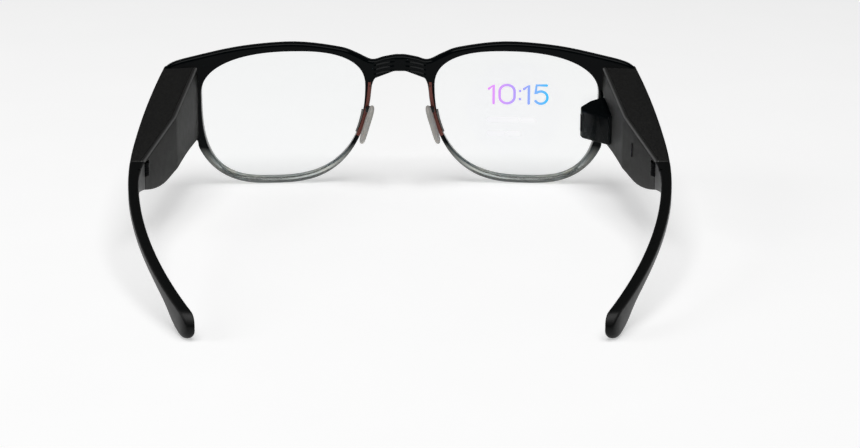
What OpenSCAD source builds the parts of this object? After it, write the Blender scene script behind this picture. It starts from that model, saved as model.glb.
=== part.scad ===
// Smart glasses standing open on a table. +Z is up, the front faces -Y and the arms reach towards +Y.
// +X is the wearer's left. The origin is on the table, in the middle of the whole outline.

/* [Lenses] */
// Width of one lens opening
lens_w = 50.8; // [42:0.1:61]
// Height of one lens opening
lens_h = 40.2; // [32:0.1:46]
// Gap between the two lens openings, across the nose
bridge_w = 21.6; // [18:0.1:26]
// Thickness of a lens
lens_t = 2.0; // [1.6:0.1:2.4]
// How deep a lens edge sits in the groove of the rim
lens_lip = 0.6; // [0.3:0.1:0.8]

/* [Front] */
// Thickness of the front, front to back
front_t = 4.4; // [3.8:0.1:5.5]
// Radius of the front's wrap around the face
wrap_r = 560; // [350:10:900]
// Height of the rim below a lens
rim_low = 1.8; // [1.6:0.1:3.5]
// Height of the rim above a lens
rim_top = 2.6; // [2.4:0.1:4.5]
// Width of the rim beside the nose
rim_nasal = 2.1; // [1.8:0.1:3]
// Width of the rim at its outer side, below the end piece
rim_side = 3.9; // [3:0.1:5]
// Width of the end piece, from lens opening to the outer corner
end_w = 11.4; // [10:0.1:14]
// Height of the bridge at the middle
bridge_h = 4.9; // [4:0.1:7]

/* [Housings] */
// Distance from the front to the seam where the arm folds
seam_d = 66; // [60:1:80]
// Height of a housing at the front
house_h = 22.5; // [19:0.1:26]
// Wall of a housing shell
wall = 1.2; // [0.9:0.1:1.5]
// Thickness of the cover on a housing's inner side
cover_t = 1.2; // [0.9:0.1:1.5]
// Width of a housing at the seam
seam_w = 4.2; // [3.8:0.1:5]

/* [Arms] */
// Distance from the front to the tip of an arm
reach = 150; // [125:1:180]
// Thickness of an arm
arm_t = 2.9; // [2.4:0.1:3.6]
// How far an arm sweeps inwards at its tip
sweep = 23; // [18:0.5:30]
// Height of the arm's top edge at the tip
tip_h = 6.2; // [5:0.1:7.5]
// Thickness of the steel blade inside an arm
core_t = 0.8; // [0.5:0.05:1.2]
// Height of that blade
core_h = 1.4; // [1:0.1:1.8]

/* [Hinges] */
// Height of a hinge, over its three knuckles
hinge_h = 3.7; // [3:0.1:4.4]
// Radius of a hinge pin
pin_r = 0.6; // [0.4:0.05:0.75]
// Radius of the hinge knuckles around the pin
knuckle_r = 1.2; // [1.1:0.05:1.35]
// Running clearance around the pin, on the radius
pin_gap = 0.04; // [0.02:0.01:0.08]
// Clearance between parts that fold past each other
fold_gap = 0.35; // [0.25:0.05:0.5]

/* [Nose pads] */
// Height of a nose pad
pad_h = 12.6; // [10:0.1:15]
// Depth of a nose pad, front to back
pad_d = 7; // [5:0.1:9]
// Thickness of a nose pad
pad_t = 1.4; // [1.4:0.1:2.1]

/* [Hidden] */

$fn = 48;
wrap_fn = 720;
fit = 0.05;                      // clearance of a part that sits in a pocket
front_back = -1.6;               // rear face of the bridge, ahead of the datum that depths start from
front_y = -(reach - front_t + front_back) / 2;   // the datum's place along Y

// Extremes of the lens opening, x out from the nose and z up from the table
open_in = bridge_w / 2;
open_out = open_in + lens_w;
open_low = rim_low;
open_top = rim_low + lens_h;
top_x = open_in + 0.43 * lens_w;
low_x = open_in + 0.575 * lens_w;
side_z = open_low + 0.67 * lens_h;
nose_z = open_low + 0.72 * lens_h;
open_bulge = [2.3, 3.0, 2.7, 2.5];  // superellipse powers: outer top, outer low, nasal low, nasal top
rim_bulge = [2.3, 2.5, 3.2, 2.5];
open_lean = 3;                   // how far the nasal lower quarter leans out towards its foot
rim_lean = 7;

// The front's outline
front_half = open_out + end_w;
brow_top = open_top + rim_top;
bridge_top = open_top - 1.6;
valley = [open_in - 2.0, open_top - 3.1];
corner = [front_half, open_top - 4.9];
end_low = corner.y - house_h + 0.6;
outer_cut = end_low - 3;         // where the end piece runs into the rim
nasal_cut = nose_z - 3;          // where the bridge runs into the rim

// The housings and arms, as depth behind the front and height above the table
house_top = open_top - 4;
fall = (house_top - tip_h) / reach;
crest_d = seam_d - 9;            // where a temple is widest
flare = 3.1;                     // how much wider it is there than at the front
crease_d = 0.56 * seam_d;        // bend in the housing's inner face
crease_w = 10;                   // width of the housing there
house_in = open_out + 0.7;       // inner face of the housing at the front

// The hinge
pivot = [inner_x(seam_d) + 0.15, seam_d - 2.1];
hinge_high = top_z(seam_d) - 0.9;
hinge_low = hinge_high - hinge_h;
knuckle_h = hinge_h / 3;

step = 3;                        // spacing of the points along curved temples
quarter_steps = 14;              // points on each quarter of a lens outline

// Depth of the front's rear face at a distance x from the middle
function rear_at(x) = front_back + wrap_r - sqrt(wrap_r * wrap_r - x * x);
function top_z(d) = house_top - fall * d;
function outer_x(d) = front_half - 0.2 + flare
    - (d < crest_d ? flare * pow((crest_d - d) / crest_d, 2)
                   : (sweep + 0.4) * pow((d - crest_d) / (reach - crest_d), 2));
function slope(d) = outer_x(d + 0.5) - outer_x(d - 0.5);
function inner_x(d) = d < crease_d
    ? house_in + (outer_x(crease_d) - crease_w - house_in) * d / crease_d
    : outer_x(crease_d) - crease_w
      + (outer_x(seam_d) - seam_w - outer_x(crease_d) + crease_w) * (d - crease_d) / (seam_d - crease_d);
function arm_in_x(d) = outer_x(d) - arm_width(d) * sqrt(1 + pow(slope(d), 2));
function arm_width(d) = arm_t + (seam_w - arm_t) * pow(max(0, 1 - (d - seam_d) / 14), 2);
function arm_d(share) = seam_d + share * (reach - seam_d);

// One quarter of a superellipse about `c`, from the angle `from`
function quarter(c, rx, rz, power, from, steps = quarter_steps) = [
    for (i = [0:steps - 1])
        let (a = from + 90 * i / steps, u = cos(a), v = sin(a))
        [c.x + rx * sign(u) * pow(abs(u), 2 / power), c.y + rz * sign(v) * pow(abs(v), 2 / power)]
];

// Closed outline through its outer, top, nasal and lowest points
function eye_outline(outer, top, nasal, low, bulge, lean) = concat(
    quarter([top.x, outer.y], outer.x - top.x, top.y - outer.y, bulge[0], 0),
    quarter([top.x, nasal.y], top.x - nasal.x, top.y - nasal.y, bulge[3], 90),
    [for (q = quarter([low.x - lean, nasal.y], low.x - lean - nasal.x, nasal.y - low.y, bulge[2], 180))
        q + [lean * pow((nasal.y - q.y) / (nasal.y - low.y), 1.5), 0]],
    quarter([low.x, outer.y], outer.x - low.x, outer.y - low.y, bulge[1], 270)
);
function opening(grow = 0) = eye_outline(
    [open_out + grow, side_z], [top_x, open_top + grow],
    [open_in - grow, nose_z], [low_x, open_low - grow], open_bulge, open_lean);
// The rim's outer and nasal edges at a height z
function rim_outer_x(z) = low_x + 1 + (open_out + rim_side - low_x - 1)
    * pow(1 - pow((side_z - z) / side_z, rim_bulge[1]), 1 / rim_bulge[1]);
function rim_nasal_x(z) =
    let (foot_x = low_x + 1 - rim_lean, drop = (nose_z + 1.3 - z) / (nose_z + 1.3))
    foot_x - (foot_x - open_in + rim_nasal) * pow(1 - pow(drop, rim_bulge[2]), 1 / rim_bulge[2])
    + rim_lean * pow(drop, 1.5);
function rim(inset = 0) = eye_outline(
    [open_out + rim_side - inset, side_z], [top_x, brow_top - inset],
    [open_in - rim_nasal + inset, nose_z + 1.3], [low_x + 1, inset], rim_bulge, rim_lean);

// Smooth curve through the points, `steps` pieces to each span
function between(a, b, c, d, t) = 0.5 * (2 * b + (c - a) * t + (2 * a - 5 * b + 4 * c - d) * t * t
    + (3 * b - a - 3 * c + d) * t * t * t);
function smooth(p, steps = 5) = concat([
    for (i = [0:len(p) - 2], k = [0:steps - 1])
        between(p[max(i - 1, 0)], p[i], p[i + 1], p[min(i + 2, len(p) - 1)], k / steps)
], [p[len(p) - 1]]);
function reversed(p) = [for (i = [len(p) - 1:-1:0]) p[i]];
function shifted(p, by) = [for (q = p) q + by];

// Top edge of the front, from the middle of the bridge to the outer corner
brow_line = smooth([
    [0, bridge_top], [1.5, bridge_top], [valley.x * 0.6, bridge_top - 0.7], valley, [open_in + 2.6, open_top - 1.0],
    [open_in + 8, open_top + rim_top - 1.7], [top_x, brow_top], [top_x + 0.32 * lens_w, brow_top - 1.1],
    [open_out + 1.6, open_top - 1.3], [corner.x - 2.8, corner.y + 1.8], corner
]);
// Lower edge of the bridge, from its middle to the nasal rim
bridge_line = smooth([
    [0, bridge_top - bridge_h], [1.5, bridge_top - bridge_h], [open_in - 5.8, bridge_top - bridge_h - 0.5],
    [open_in - 3.4, bridge_top - bridge_h - 1.9], [open_in - rim_nasal - 0.1, nose_z + 0.6],
    [rim_nasal_x(nasal_cut), nasal_cut]
]);
// Outer side and underside of the end piece, down to the rim
end_line = smooth([corner, [front_half, end_low + 2.2], [front_half - 0.6, end_low + 0.6],
    [front_half - 2.4, end_low - 0.1], [open_out + 2.3, end_low - 0.3], [rim_outer_x(outer_cut), outer_cut]]);
rim_line = [for (i = [4 * quarter_steps - 1:-1:2 * quarter_steps])
    let (q = rim()[i]) if (q.y < (q.x > low_x ? outer_cut : nasal_cut) - 0.3) q];
half_line = concat(brow_line, end_line, rim_line, reversed(bridge_line));

// ---- Placing ----

// What follows is on the wearer's left (+X), mirrored to the right when side is -1
module on_side(side) {
    if (side > 0) children();
    else mirror([1, 0, 0]) children();
}
// An outline drawn as (depth, height), as a slab across x from x0 to x1
module across(x0, x1) {
    translate([x0, front_y, 0]) rotate([90, 0, 90]) linear_extrude(x1 - x0) children();
}
// An outline drawn as (x, depth), as a slab from z0 up to z1
module upright(z0, z1) {
    translate([0, front_y, z0]) linear_extrude(z1 - z0) children();
}
// An outline drawn as (x, height), cut from the wrapped front; `back` is its rear face, `deep` its depth
module wrapped(back, deep) {
    intersection() {
        translate([0, front_y + front_back + wrap_r, -5]) difference() {
            cylinder(h = 80, r = wrap_r - back + deep, $fn = wrap_fn);
            translate([0, 0, -1]) cylinder(h = 82, r = wrap_r - back, $fn = wrap_fn);
        }
        translate([0, front_y + 20, 0]) rotate([90, 0, 0]) linear_extrude(60) children();
    }
}
// Everything behind the front's rear face
module behind_front(gap) {
    intersection() {
        translate([0, front_y + front_back + wrap_r, -5]) cylinder(h = 80, r = wrap_r - gap, $fn = wrap_fn);
        children();
    }
}

// ---- Front ----

module eye(grow = 0) polygon(opening(grow));
module both_eyes(grow = 0) for (side = [0, 1]) mirror([side, 0]) eye(grow);

module front_outline() polygon(concat(half_line, [for (q = reversed(half_line)) if (q.x > 0) [-q.x, q.y]]));
// Flat strip that follows the brow, `drop` below its top edge, and dives into the housings
function cable_path(drop) = concat(
    [for (q = brow_line) if (q.x < open_out - 2) [q.x, q.y - drop]],
    [[open_out + 3.5, open_top - 3.4 - drop], [cable_end.x, cable_end.y - drop],
     [cable_end.x + cable_wide, cable_end.y - drop]]);
cable_end = [open_out + 5, open_top - 5.5];
module cable_outline(drop, t) {
    for (side = [0, 1]) mirror([side, 0])
        polygon(concat(cable_path(drop), reversed(cable_path(drop + t))));
}
module cable_tail(grow) {
    for (side = [-1, 1]) on_side(side)
        translate([cable_end.x, front_y + front_back, cable_end.y - cable_drop - cable_t - grow])
            cube([cable_wide, 9, cable_t + 2 * grow]);
}
module bridge_grooves() {
    for (row = [0:2]) {
        z = bridge_top - 1.3 - 1.4 * row;
        wrapped(0.1, 0.5) intersection() {
            translate([0, z - 26]) difference() {
                circle(r = 26, $fn = 160);
                circle(r = 25.4, $fn = 160);
            }
            translate([-open_in + 3.2, 0]) square([bridge_w - 6.4, 60]);
        }
    }
}
module rail_outline(grow = 0) {
    intersection() {
        difference() {
            polygon(rim(rail_from - grow));
            polygon(rim(rail_to + grow));
        }
        translate([0, open_low + 13.2 - grow]) square([top_x - 4, 17.2 + 2 * grow]);
    }
}
module insert_outline(grow = 0) {
    intersection() {
        difference() {
            polygon(rim(rail_to + 0.1 - grow));
            eye(-insert_proud - grow);
        }
        translate([0, open_low + 14.6 - grow]) square([top_x - 6, 7 + 2 * grow]);
    }
}
rail_from = 0.15;                // edges of the rail, in from the rim's outer edge
rail_to = 1.2;
rail_deep = 0.8;
insert_deep = 0.9;
insert_proud = 0.55;             // how far the insert stands into the opening, behind the lens
rivet_r = 0.36;
rivet_at = [[open_in - 1.5, open_low + 29.2], [open_in - 0.65, open_low + 22.0]];

module front_frame() color("#11181a") difference() {
    wrapped(0, front_t) difference() {
        front_outline();
        both_eyes();
    }
    wrapped(-lens_back, lens_t + fit) both_eyes(lens_lip + fit);
    bridge_grooves();
    wrapped(-cable_back, cable_wide + 2 * fit) cable_outline(cable_drop - 0.1, cable_t + 0.2);
    cable_tail(0.1);
    for (side = [-1, 1]) on_side(side) {
        wrapped(0.01, rail_deep + 0.01) rail_outline(0.02);
        wrapped(0.01, insert_deep + 0.01) insert_outline(0.02);
        rivets(0.02);
        bracket_body(0.02, 3);
        bracket_screw_shanks(0.02);
    }
}
lens_back = (front_t - lens_t) / 2;
cable_back = 1.0;
cable_wide = 2.2;
cable_t = 0.3;
cable_drop = 1.3;

module lens(side) on_side(side) color([0.9, 0.95, 0.97, 0.3])
    wrapped(-lens_back - fit / 2, lens_t) eye(lens_lip);
module left_lens() lens(1);
module right_lens() lens(-1);

// Holographic layer on the back of the right lens, in front of the wearer's eye
film_t = 0.1;
film_r = 15;
module display_film() on_side(-1) color([0.75, 0.8, 0.95, 0.4])
    wrapped(-lens_back - fit / 2 + film_t, film_t) translate([top_x + 3, side_z - 5]) circle(r = film_r, $fn = 96);

module brow_flex_cable() color("#b5762a") union() {
    wrapped(-cable_back - fit, cable_wide) cable_outline(cable_drop, cable_t);
    cable_tail(0);
}

// ---- Nose ----

module nose_rail(side) on_side(side) color("#7c3a2c") difference() {
    wrapped(0, rail_deep) rail_outline();
    rivets(0.02);
}
module left_nose_rail() nose_rail(1);
module right_nose_rail() nose_rail(-1);

module rim_insert(side) on_side(side) color("#6f6d68") wrapped(0, insert_deep) insert_outline();
module left_rim_insert() rim_insert(1);
module right_rim_insert() rim_insert(-1);

module rivets(grow = 0) {
    for (at = rivet_at)
        translate([at.x, front_y + rear_at(at.x) + 0.15, at.y]) rotate([90, 0, 0])
            cylinder(h = 1.2 + grow, r = rivet_r + grow, $fn = 24);
}
module nose_rivets() color("#3a1e18") for (side = [-1, 1]) on_side(side) rivets();

// The pad's frame of reference: its middle, leaning out towards the cheek
pad_mid = [open_in - 0.55, front_back + pad_d / 2 + 0.6, open_low + 17.8];
pad_lean = 17;                   // the top of a pad is nearer the nose
pad_toe = 4;
module at_pad() {
    translate([pad_mid.x, front_y + pad_mid.y, pad_mid.z]) rotate([0, -pad_lean, 0]) rotate([0, 0, pad_toe]) children();
}
clip = [2.2, 2.2, 1.6];
module pad_clip(side) on_side(side) color("#15181a") difference() {
    translate([pad_mid.x - 1.7, front_y + rear_at(pad_mid.x) + 0.02, rivet_at[1].y - clip.z / 2]) cube(clip);
    at_pad() pad_solid(0.02);
    rivets(0.02);
}
module left_pad_clip() pad_clip(1);
module right_pad_clip() pad_clip(-1);

// Oval fin with rounded ends, thin across X
module pad_solid(grow = 0) {
    straight = pad_h - pad_d;
    translate([-pad_t / 2 - grow, 0, 0]) rotate([90, 0, 90]) linear_extrude(pad_t + 2 * grow) {
        translate([-pad_d / 2 - grow, -straight / 2]) square([pad_d + 2 * grow, straight]);
        for (end = [-1, 1]) translate([0, end * straight / 2]) circle(r = pad_d / 2 + grow, $fn = 64);
    }
}
module nose_pad(side) on_side(side) color("#b4b1ab") behind_front(fit) at_pad() pad_solid();
module left_nose_pad() nose_pad(1);
module right_nose_pad() nose_pad(-1);

// ---- Housings ----

function outer_points(d0, d1, inset) = [
    for (i = [0:ceil((d1 - d0) / step)])
        let (d = min(d0 + i * step, d1)) [outer_x(d) - inset, d]
];
module house_plan(inset_out, inset_in, d0, d1) {
    polygon(concat(outer_points(d0, d1, inset_out),
        [[inner_x(d1) + inset_in, d1], [inner_x(crease_d) + inset_in, crease_d],
         [inner_x(d0) + inset_in, d0]]));
}
// Side view of a housing: straight falling top, and a belly that is lowest before the seam
house_low = smooth([
    [-12, end_low], [0, end_low], [0.3 * seam_d, end_low + 0.1], [0.56 * seam_d, end_low - 0.9],
    [0.74 * seam_d, end_low - 2.1], [0.88 * seam_d, end_low - 1.3], [seam_d, end_low + 0.5]
]);
module house_side(inset) {
    polygon(concat(shifted(house_low, [0, inset]),
        [[seam_d, top_z(seam_d) - inset], [-12, top_z(-12) - inset]]));
}
module house_solid(out, inn, edge, d0, d1) {
    intersection() {
        upright(0, 60) house_plan(out, inn, d0, d1);
        across(40, 90) house_side(edge);
    }
}
house_d0 = -1;                   // the housing starts inside the front's wrap and is trimmed by it
// Slab that takes in a housing's inner face, `past` the ends of the housing
module cover_strip(grow = 0, past = 0) {
    upright(0, 60) polygon(concat([[0, house_d0 - past], [0, seam_d + past]],
        [for (d = [seam_d + past, seam_d, crease_d, house_d0 - past]) [inner_x(d) + cover_t + grow, d]]));
}
module hinge_pocket() {
    translate([0, front_y, 0]) {
        translate([pivot.x, pivot.y, hinge_low - 0.1])
            cylinder(h = hinge_high - hinge_low + 0.2, r = knuckle_r + fold_gap);
        translate([pivot.x - 3, pivot.y - knuckle_r - fold_gap, hinge_low - 0.1])
            cube([3, 2 * (knuckle_r + fold_gap), hinge_high - hinge_low + 0.2]);
        translate([pivot.x - 3, pivot.y, hinge_low - 0.1])
            cube([3 + knuckle_r + fold_gap, 9, hinge_high - hinge_low + 0.2]);
    }
}
module housing_shell(side) on_side(side) color("#262625") behind_front(0) difference() {
    house_solid(0, 0, 0, house_d0 - 3, seam_d);
    house_solid(wall, cover_t - 0.4, wall, house_d0 - 8, seam_d - 9);
    cover_strip(fit, 4);
    hinge_pocket();
    leaf_plate(0.02, 1);
    mic_solid(0.02);
    speaker_slots();
    if (side > 0) contacts_solid(0.02);
    if (side < 0) gasket_solid(0.02);
}
module left_housing_shell() housing_shell(1);
module right_housing_shell() housing_shell(-1);

module housing_cover(side) on_side(side) color("#4a4a46") behind_front(0) difference() {
    intersection() {
        house_solid(wall, 0, 0, house_d0, seam_d);
        cover_strip();
    }
    hinge_pocket();
    if (side < 0) sensor_solid(fit);
    if (side < 0) gasket_solid(0.02);
    if (side < 0) window_path();
}
module left_housing_cover() housing_cover(1);
module right_housing_cover() housing_cover(-1);

// Steel angle that ties a housing to the front, let into the back of the end piece
bracket = [4.4, 1.2, 9];
bracket_tongue = 8;
bracket_at = [front_half - 6.2, rear_at(front_half - 6.2), end_low + 5.5];
tongue_end = bracket_at.y - bracket.y + bracket_tongue;
bracket_screw_r = 0.6;
module bracket_body(grow = 0, behind = 0) {
    translate([bracket_at.x - grow, front_y + bracket_at.y - bracket.y - grow, bracket_at.z - grow])
        cube([bracket.x + 2 * grow, bracket.y + grow + behind, bracket.z + 2 * grow]);
}
module at_bracket_screws() {
    for (row = [0, 1])
        translate([bracket_at.x + 1.5, front_y + bracket_at.y, bracket_at.z + 2 + 5 * row])
            rotate([90, 0, 0]) children();
}
module bracket_screw_shanks(grow = 0) {
    at_bracket_screws() cylinder(h = bracket.y + 1.6 + grow, r = bracket_screw_r + grow, $fn = 24);
}
module end_bracket(side) on_side(side) color("#a9adb0") difference() {
    union() {
        bracket_body();
        translate([bracket_at.x + bracket.x - 1, front_y + bracket_at.y - bracket.y, bracket_at.z])
            cube([1, bracket_tongue, bracket.z]);
    }
    bracket_screw_shanks(0.02);
}
module left_end_bracket() end_bracket(1);
module right_end_bracket() end_bracket(-1);
module bracket_screws() color("#8d9193") for (side = [-1, 1]) on_side(side) {
    bracket_screw_shanks();
    at_bracket_screws() translate([0, 0, -0.7]) cylinder(h = 0.7, r = 1.1, $fn = 24);
}

// Sound slits in the belly, below the speaker
slit_pitch = 1.6;
module speaker_slots() {
    for (i = [0:3])
        translate([inner_x(28) + 3, front_y + 24 + slit_pitch * i, end_low - 3]) cube([3.4, 0.7, 6]);
}

// ---- Hinges ----

module knuckle(row, bore) {
    translate([pivot.x, front_y + pivot.y, hinge_low + row * knuckle_h + 0.06]) difference() {
        cylinder(h = knuckle_h - 0.12, r = knuckle_r);
        translate([0, 0, -1]) cylinder(h = knuckle_h + 2, r = bore);
    }
}
// Plate of a leaf, towards the front (way = 1) or towards the tip (way = -1)
leaf_t = 0.9;
module leaf_plate(grow = 0, way = 1) {
    long = way > 0 ? 6.5 : 7.5;
    translate([pivot.x + knuckle_r - leaf_t - grow, front_y + pivot.y - (way > 0 ? long : 0) - grow, hinge_low + 0.06 - grow])
        cube([leaf_t + 2 * grow, long + 2 * grow, hinge_high - hinge_low - 0.12 + 2 * grow]);
}
module clear_of_knuckle(row) {
    translate([pivot.x, front_y + pivot.y, hinge_low + row * knuckle_h - 0.06])
        cylinder(h = knuckle_h + 0.12, r = knuckle_r + 0.15);
}
module hinge_leaf(side) on_side(side) color("#1c1e1f") union() {
    knuckle(0, pin_r + 0.005);
    knuckle(2, pin_r + 0.005);
    difference() {
        leaf_plate(0, 1);
        clear_of_knuckle(1);
        translate([pivot.x, front_y + pivot.y, hinge_low - 1]) cylinder(h = 12, r = pin_r + 0.3);
    }
}
module left_hinge_leaf() hinge_leaf(1);
module right_hinge_leaf() hinge_leaf(-1);

module hinge_pin(side) on_side(side) color("#9a9da0")
    translate([pivot.x, front_y + pivot.y, hinge_low + 0.06])
        cylinder(h = hinge_high - hinge_low - 0.12, r = pin_r);
module left_hinge_pin() hinge_pin(1);
module right_hinge_pin() hinge_pin(-1);

// ---- Inside the left housing ----

battery = [4.6, 22, 9];
module battery_cell() color("#8aa0a8")
    translate([inner_x(32) + cover_t + 0.3, front_y + tongue_end + 0.8, end_low + wall + 4]) cube(battery);
module charge_board() color("#1f5a3a")
    translate([inner_x(50) + cover_t + 0.3, front_y + 36, end_low + wall + 0.6]) cube([0.8, 13, 8]);
contact_r = 0.8;
module contacts_solid(grow = 0) {
    for (i = [0, 1])
        translate([outer_x(crease_d) - crease_w / 2 + 0.4, front_y + crease_d + 6 + 4 * i, 0])
            cylinder(h = end_low + 1.1 + grow, r = contact_r + grow, $fn = 24);
}
module charge_contacts() color("#c9a24a") intersection() {
    contacts_solid();
    house_solid(0, 0, 0, house_d0, seam_d);
}

// ---- Inside the right housing ----

module main_board() on_side(-1) color("#1f5a3a")
    translate([inner_x(36) + cover_t + 2.6, front_y + 14, end_low + wall + 2.6]) cube([0.8, 22, 9.4]);
module processor() on_side(-1) color("#202224")
    translate([inner_x(36) + cover_t + 1.5, front_y + 20, end_low + wall + 4]) cube([1.1, 9, 8]);
module bluetooth_antenna() on_side(-1) color("#c08a4a") across(outer_x(20) - wall - 1.1, outer_x(20) - wall - 0.8)
    difference() {
        translate([12, top_z(12) - 6.5]) square([12, 2.5]);
        translate([13, top_z(12) - 5.7]) square([12, 0.9]);
    }
module light_engine() on_side(-1) color("#5b5f63")
    translate([inner_x(10) + cover_t + 0.4, front_y + bracket_at.y + 1, end_low + wall + 1]) cube([2.6, 7, 7]);

// Projector pod on the right cover: sloping roof, upright rear face, narrow end with a window
pod_in = open_out - 5.9;         // inner end of the pod
pod_low = end_low + 1.4;
pod_mid = pod_low + 8.4;         // height of the rear face
pod_high = pod_low + 12.8;       // height of the roof at the front
pod_front = 2.2;                 // depths between which the pod meets the cover
pod_rear = 18;
pod_plan = [[pod_in, 5], [pod_in + 0.4, 8], [inner_x(pod_rear) - 0.02, pod_rear],
    [inner_x(pod_front) - 0.02, pod_front]];
module pod_solid() {
    run = pod_plan[2] - pod_plan[1];
    turn = atan2(run.y, run.x);
    intersection() {
        upright(pod_low, pod_high + 2) polygon(pod_plan);
        translate([pod_plan[1].x, front_y + pod_plan[1].y, 0]) rotate([0, 0, turn])
            translate([-12, 0, 0]) rotate([90, 0, 90]) linear_extrude(40)
                polygon([[0.4, pod_low], [0.4, pod_mid], [-8.6, pod_high], [-14, pod_high], [-14, pod_low]]);
    }
}
module window_solid(grow = 0) {
    translate([pod_in - 0.1 - grow, front_y + 5.4 - grow, pod_low + 2 - grow])
        cube([0.9 + grow, 2 + 2 * grow, 5 + 2 * grow]);
}
// Light path from the engine to the window
module window_path() {
    translate([pod_in + 0.7, front_y + 5.6, pod_low + 2.3]) cube([16, 1.6, 4.4]);
}
module projector_shroud() on_side(-1) color("#0a0d0e") behind_front(2.2) difference() {
    pod_solid();
    window_solid(0.02);
    window_path();
}
module projector_window() on_side(-1) color([0.3, 0.25, 0.45, 0.6]) window_solid();

// Thin collar where the pod meets the cover
gasket_proud = 0.6;
module gasket_solid(grow = 0) {
    from = pod_front - 0.7;
    to = pod_rear + 1.2;
    intersection() {
        upright(pod_low + 1 - grow, pod_high + 1.2 + grow) polygon([
            [inner_x(from) - gasket_proud, from - grow], [inner_x(to) - gasket_proud, to + grow],
            [inner_x(to) + 0.4 + grow, to + grow], [inner_x(from) + 0.4 + grow, from - grow]]);
        across(50, 90) polygon([[from - grow, pod_low], [to + grow, pod_low], [to + grow, pod_mid + 1.1 + grow],
            [from - grow, pod_high + 1.1 + grow]]);
    }
}
module projector_gasket() on_side(-1) color("#141718") behind_front(0.1) difference() {
    gasket_solid();
    upright(pod_low - 1, pod_high + 3) polygon(pod_plan);
}

sensor = [1.3, 0.9, 4];
module sensor_solid(grow = 0) {
    at = 0.68 * seam_d;
    translate([inner_x(at) - 0.1 - grow, front_y + at - grow, end_low + 5 - grow])
        cube([sensor.x + 2 * grow, sensor.y + 2 * grow, sensor.z + 2 * grow]);
}
module wear_sensor() on_side(-1) color("#0c0e10") sensor_solid();

module speaker(side) on_side(side) color("#3c3f42")
    translate([inner_x(31) + cover_t + 0.2, front_y + 23, end_low + wall + 0.4]) cube([4, 8, 1.6]);
module left_speaker() speaker(1);
module right_speaker() speaker(-1);

module mic_solid(grow = 0) {
    translate([outer_x(50) - wall - 1 - grow, front_y + 48.5, end_low - 2.2 - grow])
        cylinder(h = 1.8, r = 0.5 + grow, $fn = 24);
}
module microphones() color("#6d7073") for (side = [-1, 1]) on_side(side) mic_solid();

// ---- Arms ----

arm_d0 = seam_d + 0.15;
arm_shares = [0, 0.04, 0.08, 0.13, 0.2, 0.3, 0.4, 0.5, 0.6, 0.7, 0.8, 0.88, 0.94, 0.975];
tip = [(outer_x(reach) + arm_in_x(reach)) / 2, reach];
module arm_plan() {
    polygon(concat(
        [[outer_x(arm_d0), arm_d0]], [for (s = arm_shares) if (s > 0) [outer_x(arm_d(s)), arm_d(s)]],
        [[outer_x(reach) - 0.25, reach - 0.7], tip, [arm_in_x(reach) + 0.5, reach - 0.5]],
        [for (i = [len(arm_shares) - 1:-1:1]) let (d = arm_d(arm_shares[i])) [arm_in_x(d), d]],
        [[arm_in_x(arm_d0), arm_d0]]));
}
function below_top(share, h) = [arm_d(share), top_z(arm_d(share)) - h];
arm_side = concat(
    smooth([[arm_d0, end_low + 0.5], [arm_d0 + 5, end_low + 1.3], [arm_d0 + 10.5, end_low + 1.9],
        below_top(0.22, 3.9), below_top(0.34, 3.3), below_top(0.54, 3.0), below_top(0.7, 3.2),
        below_top(0.83, 4.2), [reach - 8, 1.6], [reach - 4, 0], [reach - 1, 0.9], [reach, 3.1],
        [reach - 0.9, tip_h - 0.9], [reach - 3, top_z(reach - 3)]]),
    [[arm_d0, top_z(arm_d0)]]);
module arm_solid() {
    intersection() {
        upright(-1, 60) arm_plan();
        across(20, 90) polygon(arm_side);
    }
}
// Steel blade inside an arm: a narrow strip along its middle
core_from = seam_d + 10;
core_to = reach - 8;
core_drop = 1.1;                 // how far it lies below the arm's top edge
core_ds = [for (i = [0:12]) core_from + (core_to - core_from) * i / 12];
function arm_mid(d) = (outer_x(d) + arm_in_x(d)) / 2;
module core_solid(grow = 0) {
    half = core_t / 2 + grow;
    intersection() {
        upright(-1, 60) polygon(concat(
            [for (d = core_ds) [arm_mid(d) + half * sqrt(1 + pow(slope(d), 2)), d]],
            [for (d = reversed(core_ds)) [arm_mid(d) - half * sqrt(1 + pow(slope(d), 2)), d]]));
        across(20, 90) polygon([
            [core_from - grow, top_z(core_from) - core_drop + grow], [core_to + grow, top_z(core_to) - core_drop + grow],
            [core_to + grow, top_z(core_to) - core_drop - core_h - grow],
            [core_from - grow, top_z(core_from) - core_drop - core_h - grow]]);
    }
}
module arm_core(side) on_side(side) color("#b9bcbe") core_solid();
module left_arm_core() arm_core(1);
module right_arm_core() arm_core(-1);

// Room around the two fixed knuckles, so that the arm folds past them
module arm_pocket() {
    translate([pivot.x, front_y + pivot.y, hinge_low - 0.3])
        cylinder(h = hinge_high - hinge_low + 0.6, r = knuckle_r + fold_gap);
}
module arm(side) on_side(side) color("#191a1a") difference() {
    arm_solid();
    arm_pocket();
    core_solid(0.02);
    leaf_plate(0.02, -1);
}
module left_arm() arm(1);
module right_arm() arm(-1);

module arm_leaf(side) on_side(side) color("#1c1e1f") union() {
    knuckle(1, pin_r + pin_gap);
    difference() {
        leaf_plate(0, -1);
        clear_of_knuckle(0);
        clear_of_knuckle(2);
        translate([pivot.x, front_y + pivot.y, hinge_low - 1]) cylinder(h = 12, r = pin_r + 0.3);
    }
}
module left_arm_leaf() arm_leaf(1);
module right_arm_leaf() arm_leaf(-1);

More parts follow.
